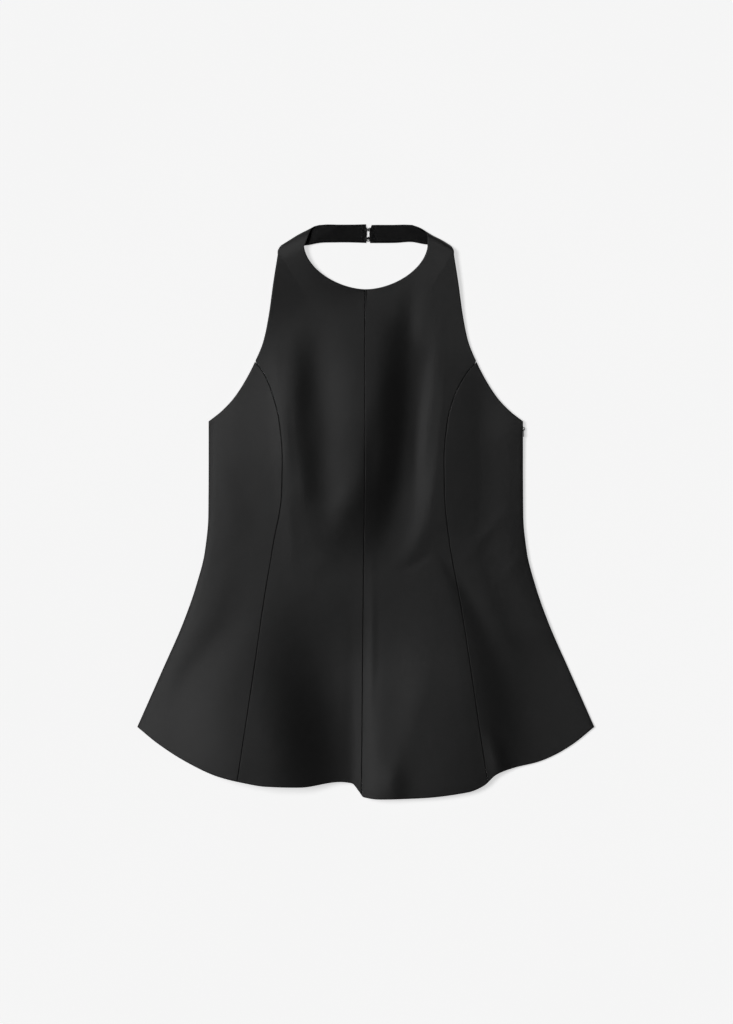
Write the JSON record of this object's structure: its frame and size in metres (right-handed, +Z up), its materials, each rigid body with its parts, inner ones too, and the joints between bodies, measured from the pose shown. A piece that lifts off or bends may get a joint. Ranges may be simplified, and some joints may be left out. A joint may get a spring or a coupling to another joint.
{
  "type": "halter neck top",
  "caption": "Black crepe halter neck top with a flared hem, laid flat: princess-seamed front, strap closing behind the neck, low back, side zip.",
  "frame": {"origin": "centre of the bounding box, on the surface that the top lies on", "axes": "+Y from the hem to the neck, +Z up out of the front, +X towards the wearer's left"},
  "size_m": [0.548, 0.6892, 0.0267],
  "materials": {
    "crepe": "matt black crepe, fine dry grain",
    "facing": "smooth black facing with a slight sheen",
    "zip_tape": "woven black tape",
    "blackened_metal": "black lacquered wire and zip metal"
  },
  "bodies": {
    "garment": {"back_panel": "crepe", "front_centre_hem_right": "crepe", "front_centre_hem_left": "crepe", "front_centre_panel_right": "crepe", "front_centre_panel_left": "crepe", "front_yoke_right": "crepe", "front_yoke_left": "crepe", "neck_strap_right": "crepe", "neck_strap_left": "crepe", "front_side_hem_right": "crepe", "front_side_hem_left": "crepe", "front_side_panel_right": "crepe", "front_side_panel_left": "crepe", "neck_facing_right": "facing", "neck_facing_left": "facing", "side_zip": "zip_tape", "zip_slider": "blackened_metal", "neck_hook_upper": "blackened_metal", "neck_hook_lower": "blackened_metal", "neck_eye_upper": "blackened_metal", "neck_eye_lower": "blackened_metal"},
    "pull_tab": {"zip_pull_tab": "blackened_metal"}
  },
  "joints": [
    {"name": "pull_tab_swing", "type": "hinge", "parent": "garment", "child": "pull_tab", "pos_m": [0.18945, 0.0994, 0.00295], "axis": [0, 0, 1], "range_deg": [0, 170]}
  ]
}
